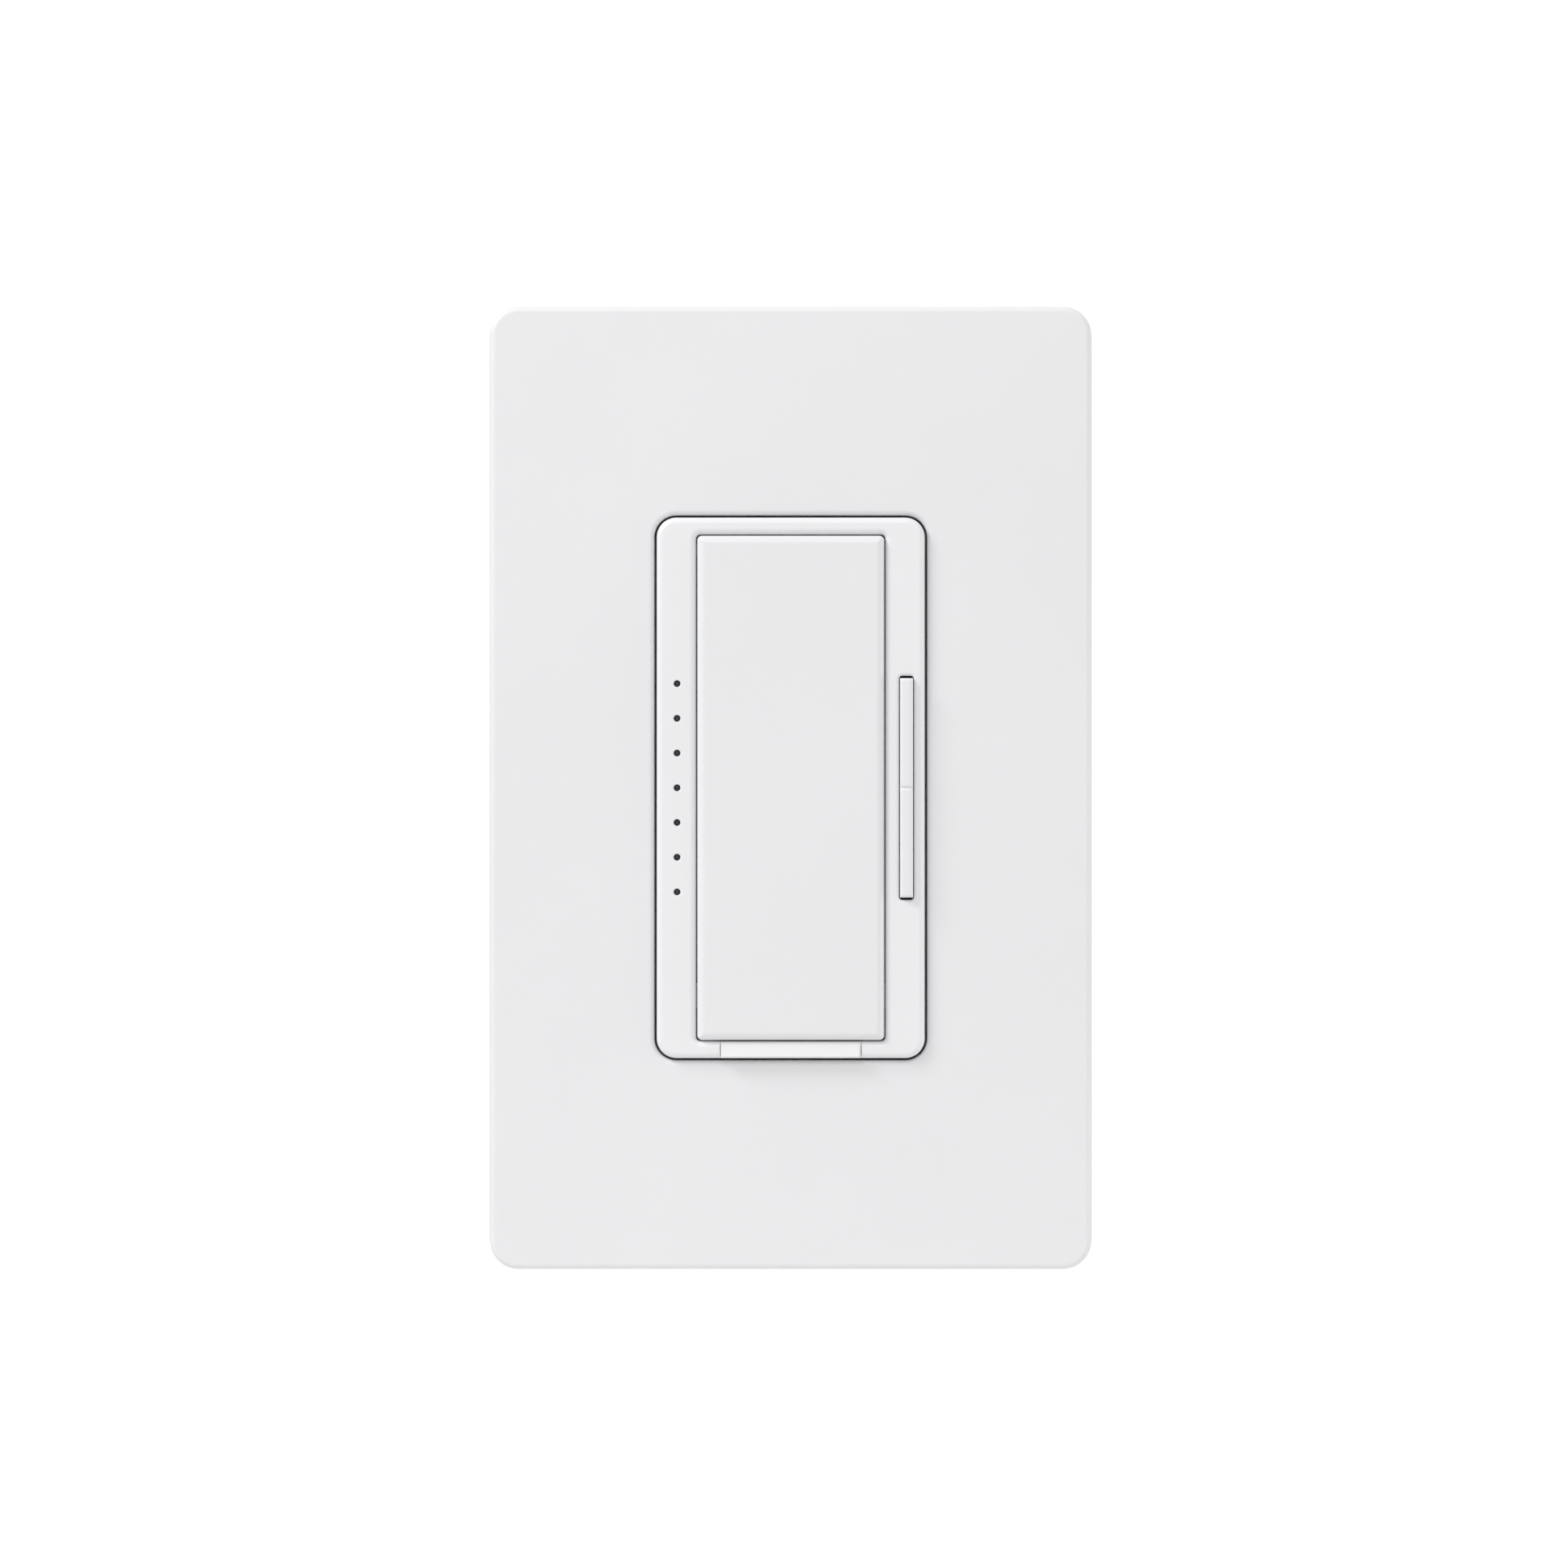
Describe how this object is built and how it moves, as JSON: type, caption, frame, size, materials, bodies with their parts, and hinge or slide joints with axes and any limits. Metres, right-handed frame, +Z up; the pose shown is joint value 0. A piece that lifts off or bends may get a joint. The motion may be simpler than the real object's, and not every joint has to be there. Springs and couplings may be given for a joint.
{
  "type": "wall dimmer switch",
  "caption": "Wall-box dimmer with a large press paddle, a slim raise/lower rocker, a column of indicator lights, a pull-out air-gap tab and a screwless wall plate.",
  "frame": {"origin": "on the wall's surface, midway between the two box screws, at the middle of the plate", "axes": "+X to the user's right, +Y into the wall, +Z up; the face looks along -Y"},
  "size_m": [0.0746, 0.0385, 0.119],
  "materials": {
    "plate_white": "satin gloss moulded white",
    "adapter_white": "matt moulded white",
    "frame_white": "satin gloss moulded white",
    "paddle_white": "satin gloss moulded white",
    "rocker_white": "satin gloss moulded white",
    "tab_white": "satin gloss moulded white",
    "yoke_aluminium": "brushed sheet",
    "zinc_steel": "zinc plated",
    "fibre_brown": "vulcanised fibre",
    "clear_acrylic": "clear moulded",
    "board_green": "solder mask over glass fibre",
    "film_amber": "insulating film",
    "led_body": "moulded lamp body",
    "chip_black": "moulded package",
    "ceramic_tan": "ceramic chip parts",
    "pin_brass": "gold flashed",
    "plunger_red": "moulded button",
    "spring_steel": "drawn wire",
    "leaf_copper": "beryllium copper strip",
    "contact_silver": "silver",
    "terminal_brass": "stamped brass",
    "mica_grey": "thermal pad",
    "core_green": "coated iron powder",
    "enamel_copper": "enamelled wire",
    "film_red": "dipped epoxy",
    "can_black": "sleeved can",
    "varistor_blue": "dipped epoxy",
    "resistor_green": "lacquered body",
    "screw_black": "black oxide",
    "screw_brass": "plain brass",
    "screw_blue": "blue lacquer",
    "screw_green": "green lacquer",
    "housing_charcoal": "moulded thermoset"
  },
  "bodies": {
    "chassis": {"wall_plate": "plate_white", "adapter_plate": "adapter_white", "adapter_screws": "zinc_steel", "yoke": "yoke_aluminium", "mounting_screws": "zinc_steel", "screw_retainers": "fibre_brown", "front_frame": "frame_white", "light_pipe": "clear_acrylic", "control_board": "board_green", "board_insulator": "film_amber", "status_leds": "led_body", "microcontroller": "chip_black", "board_passives": "ceramic_tan", "header_block": "chip_black", "header_pins": "pin_brass", "tap_switch": "chip_black", "raise_switch": "chip_black", "lower_switch": "chip_black", "paddle_springs": "spring_steel", "leaf_rivet": "terminal_brass", "leaf_bracket": "terminal_brass", "fixed_contact": "terminal_brass", "power_board": "board_green", "triac": "chip_black", "triac_insulator": "mica_grey", "triac_rivet": "zinc_steel", "choke_core": "core_green", "choke_winding": "enamel_copper", "film_capacitor": "film_red", "supply_capacitor": "can_black", "varistor": "varistor_blue", "fusible_resistor": "resistor_green", "terminal_plates": "terminal_brass", "line_screw": "screw_black", "load_screw": "screw_brass", "remote_screw": "screw_blue", "ground_screw": "screw_green", "rear_housing": "housing_charcoal", "housing_screws": "zinc_steel"},
    "paddle": {"tap_paddle": "paddle_white"},
    "rocker": {"dimming_rocker": "rocker_white"},
    "air_gap_slider": {"air_gap_tab": "tab_white"},
    "switch_leaf": {"contact_leaf": "leaf_copper", "moving_contact": "contact_silver"},
    "tap_button": {"tap_plunger": "plunger_red"},
    "raise_button": {"raise_plunger": "plunger_red"},
    "lower_button": {"lower_plunger": "plunger_red"}
  },
  "joints": [
    {"name": "paddle_press", "type": "hinge", "parent": "chassis", "child": "paddle", "pos_m": [0, -0.0058, 0.0292], "axis": [1, 0, 0], "range_deg": [0, 0.84], "stiffness_Nm_per_rad": 1, "springref_deg": -1.15, "deforming": ["paddle_springs"]},
    {"name": "rocker_tilt", "type": "hinge", "parent": "chassis", "child": "rocker", "pos_m": [0.0142, -0.0056, 0], "axis": [1, 0, 0], "range_deg": [-2, 2], "stiffness_Nm_per_rad": 0.3},
    {"name": "air_gap_pull", "type": "slide", "parent": "chassis", "child": "air_gap_slider", "axis": [0, -1, 0], "range_m": [0, 0.003]},
    {"name": "leaf_lift", "type": "hinge", "parent": "chassis", "child": "switch_leaf", "pos_m": [0, 0.0106, -0.0082], "axis": [1, 0, 0], "range_deg": [-8.3, 0]},
    {"name": "tap_button_travel", "type": "slide", "parent": "chassis", "child": "tap_button", "axis": [0, 1, 0], "range_m": [0, 0.00066]},
    {"name": "raise_button_travel", "type": "slide", "parent": "chassis", "child": "raise_button", "axis": [0, 1, 0], "range_m": [-0.00036, 0.00036]},
    {"name": "lower_button_travel", "type": "slide", "parent": "chassis", "child": "lower_button", "axis": [0, 1, 0], "range_m": [-0.00036, 0.00036]}
  ],
  "couplings": [
    {"joint": "tap_button_travel", "follows": "paddle_press", "m_per_rad": 0.0432},
    {"joint": "raise_button_travel", "follows": "rocker_tilt", "m_per_rad": -0.01},
    {"joint": "lower_button_travel", "follows": "rocker_tilt", "m_per_rad": 0.01},
    {"joint": "leaf_lift", "follows": "air_gap_pull", "rad_per_m": -47.73}
  ]
}
